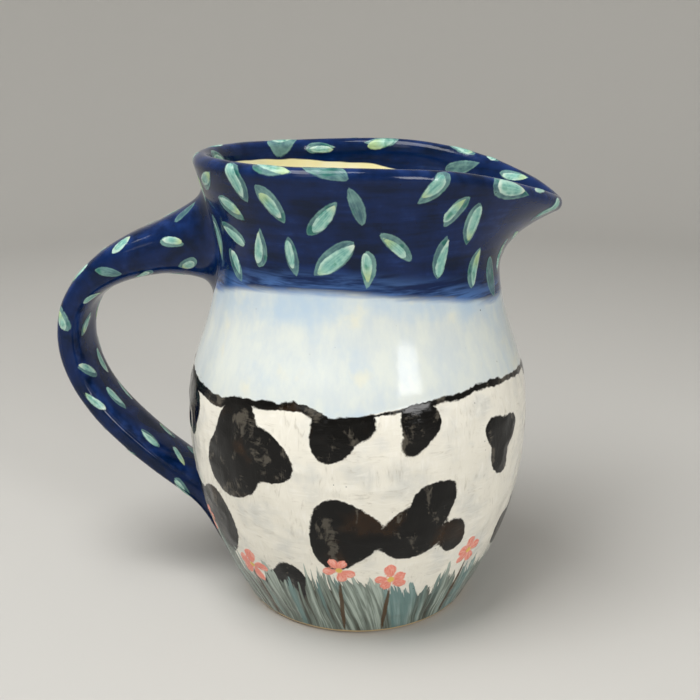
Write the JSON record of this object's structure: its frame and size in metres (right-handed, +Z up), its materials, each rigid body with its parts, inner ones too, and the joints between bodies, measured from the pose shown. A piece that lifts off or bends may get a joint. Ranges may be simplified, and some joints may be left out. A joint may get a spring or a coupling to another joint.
{
  "type": "pitcher",
  "caption": "Bulbous glazed earthenware pitcher with a flared collar, a drooping beak lip and a strap handle, dark cobalt above a pale painted body.",
  "frame": {"origin": "centre of the flat underside, on the axis of the body", "axes": "+Z up along the axis of the body, +X towards the pouring lip, -X towards the handle, +Y to the left of the lip"},
  "size_m": [0.2228, 0.1522, 0.2004],
  "materials": {
    "foot_clay": "satin",
    "painted_glaze": "gloss",
    "cobalt_glaze": "gloss"
  },
  "bodies": {
    "root": {"base_slab": "foot_clay", "belly_wall": "painted_glaze", "neck_collar": "cobalt_glaze", "pouring_lip": "cobalt_glaze", "strap_handle": "cobalt_glaze"}
  },
  "joints": []
}
